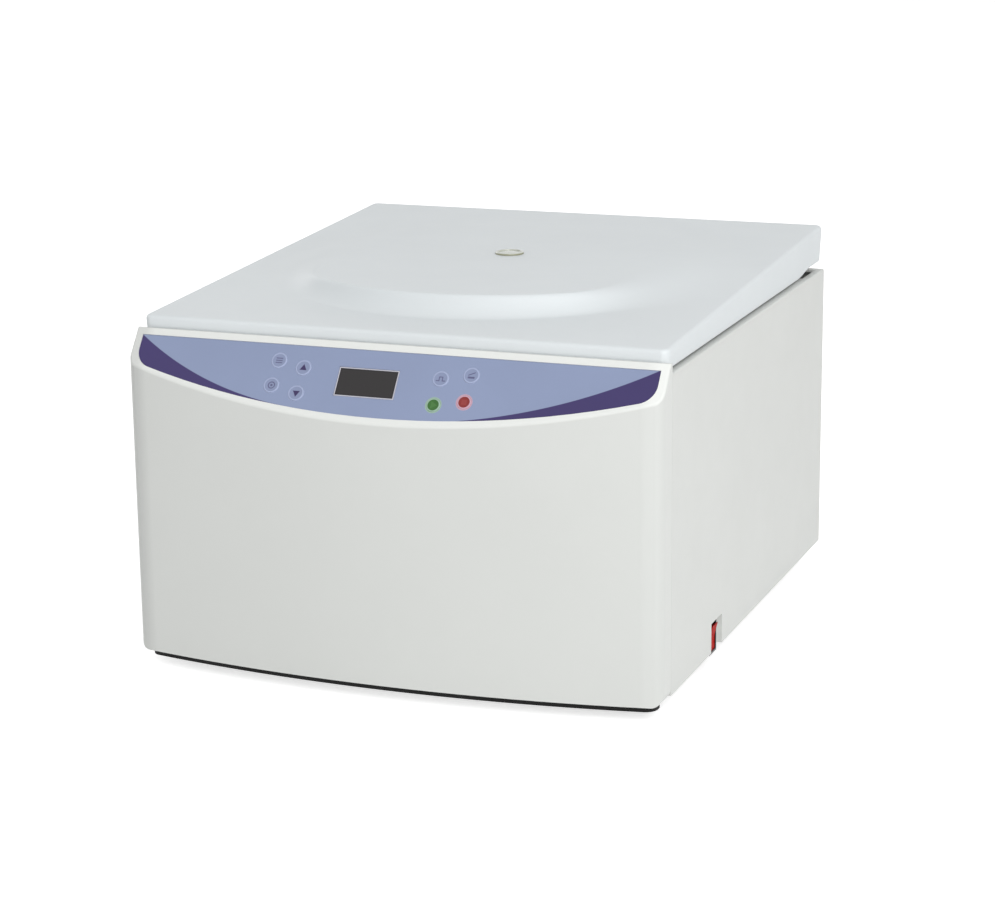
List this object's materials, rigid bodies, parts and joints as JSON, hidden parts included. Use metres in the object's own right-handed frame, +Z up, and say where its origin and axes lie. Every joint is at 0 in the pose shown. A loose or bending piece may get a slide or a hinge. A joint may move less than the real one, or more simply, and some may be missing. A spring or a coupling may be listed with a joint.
{
  "type": "microplate centrifuge",
  "caption": "Low bench-top centrifuge with a sloping hinged lid, bowed front, slanted membrane control panel and a swing-out rotor for microplates.",
  "frame": {"origin": "on the bench, under the middle of the outline's bounding box", "axes": "+Z up, +X to the operator's right, the control panel faces -Y"},
  "size_m": [0.43, 0.4868, 0.2968],
  "materials": {
    "cabinet_paint": "satin off-white powder coat",
    "bezel_plastic": "satin off-white moulding",
    "lid_plastic": "satin off-white moulding",
    "liner_plastic": "fine matt grain",
    "overlay_film": "printed polyester film",
    "key_film": "satin",
    "start_film": "satin",
    "stop_film": "satin",
    "dark_window": "smoked polycarbonate",
    "port_plastic": "clear cream",
    "black_rubber": "matt",
    "skirt_rubber": "matt",
    "dark_steel": "satin black",
    "zinc_steel": "zinc plated",
    "stainless": "brushed stainless",
    "rotor_aluminium": "anodised",
    "motor_aluminium": "cast",
    "motor_iron": "laminated",
    "board_laminate": "solder mask",
    "black_plastic": "moulded",
    "rocker_red": "moulded",
    "spring_paint": "gloss black"
  },
  "bodies": {
    "cabinet": {"base_tray": "dark_steel", "rubber_feet": "black_rubber", "frame_posts": "zinc_steel", "left_side_panel": "cabinet_paint", "right_side_panel": "cabinet_paint", "rear_panel": "cabinet_paint", "top_deck": "cabinet_paint", "front_bezel": "bezel_plastic", "front_skirt": "skirt_rubber", "control_overlay": "overlay_film", "display_window": "dark_window", "control_board": "board_laminate", "switch_housing": "black_plastic", "chamber_bowl": "stainless", "chamber_gasket": "black_rubber", "neck_boot": "black_rubber", "shock_mounts": "black_rubber", "motor_plate": "motor_aluminium", "motor_housing": "motor_aluminium", "motor_bearings": "motor_iron", "motor_stator": "motor_iron", "cabinet_hinges": "stainless", "hinge_pins": "stainless", "lock_frame": "zinc_steel", "lock_solenoid": "black_plastic", "fan_frame": "black_plastic", "fan_guard": "dark_steel", "power_inlet": "black_plastic", "fuse_holders": "black_plastic", "inverter_board": "board_laminate", "heat_sink": "motor_aluminium", "lid_bumpers": "black_rubber", "cabinet_screws": "zinc_steel"},
    "lid": {"lid_shell": "lid_plastic", "lid_liner": "liner_plastic", "sight_port": "port_plastic", "lid_hinges": "stainless", "lid_striker": "zinc_steel", "spring_stud": "zinc_steel", "liner_screws": "zinc_steel"},
    "spindle": {"drive_shaft": "stainless", "motor_magnets": "motor_iron", "rotor_yoke": "rotor_aluminium", "trunnion_pins": "stainless", "rotor_nut": "stainless"},
    "left_carrier": {"left_plate_carrier": "rotor_aluminium"},
    "right_carrier": {"right_plate_carrier": "rotor_aluminium"},
    "lock_bolt": {"lock_bolt": "stainless"},
    "rocker": {"power_rocker": "rocker_red"},
    "impeller": {"fan_impeller": "black_plastic"},
    "spring_rod": {"spring_rod": "stainless"},
    "spring_tube": {"spring_tube": "spring_paint"},
    "menu_key": {"menu_key": "key_film"},
    "select_key": {"select_key": "key_film"},
    "pulse_key": {"pulse_key": "key_film"},
    "lid_key": {"lid_key": "key_film"},
    "up_key": {"up_key": "key_film"},
    "down_key": {"down_key": "key_film"},
    "start_key": {"start_key": "start_film"},
    "stop_key": {"stop_key": "stop_film"}
  },
  "joints": [
    {"name": "lid_hinge", "type": "hinge", "parent": "cabinet", "child": "lid", "pos_m": [0, 0.2391, 0.262], "axis": [-1, 0, 0], "range_deg": [0, 75]},
    {"name": "spindle_spin", "type": "hinge", "parent": "cabinet", "child": "spindle", "pos_m": [0, 0.0376, 0.213], "axis": [0, 0, 1], "continuous": true},
    {"name": "left_carrier_swing", "type": "hinge", "parent": "spindle", "child": "left_carrier", "pos_m": [-0.088, 0.0376, 0.213], "axis": [0, 1, 0], "range_deg": [0, 90]},
    {"name": "right_carrier_swing", "type": "hinge", "parent": "spindle", "child": "right_carrier", "pos_m": [0.088, 0.0376, 0.213], "axis": [0, -1, 0], "range_deg": [0, 90]},
    {"name": "lock_bolt_slide", "type": "slide", "parent": "cabinet", "child": "lock_bolt", "axis": [1, 0, 0], "range_m": [0, 0.012]},
    {"name": "power_rocker_tilt", "type": "hinge", "parent": "cabinet", "child": "rocker", "pos_m": [0.209, -0.0864, 0.0265], "axis": [0, -1, 0], "range_deg": [0, 18]},
    {"name": "fan_spin", "type": "hinge", "parent": "cabinet", "child": "impeller", "pos_m": [-0.06, 0.2211, 0.08], "axis": [0, 1, 0], "continuous": true},
    {"name": "spring_rod_pivot", "type": "hinge", "parent": "lid", "child": "spring_rod", "pos_m": [0.199, 0.1941, 0.254], "axis": [-1, 0, 0], "range_deg": [-67, 0]},
    {"name": "spring_tube_slide", "type": "slide", "parent": "spring_rod", "child": "spring_tube", "axis": [0, 0.1129, -0.9936], "range_m": [0, 0.0525]},
    {"name": "menu_key_press", "type": "slide", "parent": "cabinet", "child": "menu_key", "axis": [0, 0.7965, -0.6046], "range_m": [0, 0.0005], "stiffness_N_per_m": 2000},
    {"name": "select_key_press", "type": "slide", "parent": "cabinet", "child": "select_key", "axis": [0, 0.7965, -0.6046], "range_m": [0, 0.0005], "stiffness_N_per_m": 2000},
    {"name": "pulse_key_press", "type": "slide", "parent": "cabinet", "child": "pulse_key", "axis": [0, 0.7965, -0.6046], "range_m": [0, 0.0005], "stiffness_N_per_m": 2000},
    {"name": "lid_key_press", "type": "slide", "parent": "cabinet", "child": "lid_key", "axis": [0, 0.7965, -0.6046], "range_m": [0, 0.0005], "stiffness_N_per_m": 2000},
    {"name": "up_key_press", "type": "slide", "parent": "cabinet", "child": "up_key", "axis": [0, 0.7965, -0.6046], "range_m": [0, 0.0005], "stiffness_N_per_m": 2000},
    {"name": "down_key_press", "type": "slide", "parent": "cabinet", "child": "down_key", "axis": [0, 0.7965, -0.6046], "range_m": [0, 0.0005], "stiffness_N_per_m": 2000},
    {"name": "start_key_press", "type": "slide", "parent": "cabinet", "child": "start_key", "axis": [0, 0.7965, -0.6046], "range_m": [0, 0.0005], "stiffness_N_per_m": 2000},
    {"name": "stop_key_press", "type": "slide", "parent": "cabinet", "child": "stop_key", "axis": [0, 0.7965, -0.6046], "range_m": [0, 0.0005], "stiffness_N_per_m": 2000}
  ],
  "couplings": [
    {"joint": "spring_rod_pivot", "follows": "lid_hinge", "ratio": -0.88705},
    {"joint": "spring_tube_slide", "follows": "lid_hinge", "m_per_rad": 0.039501}
  ]
}
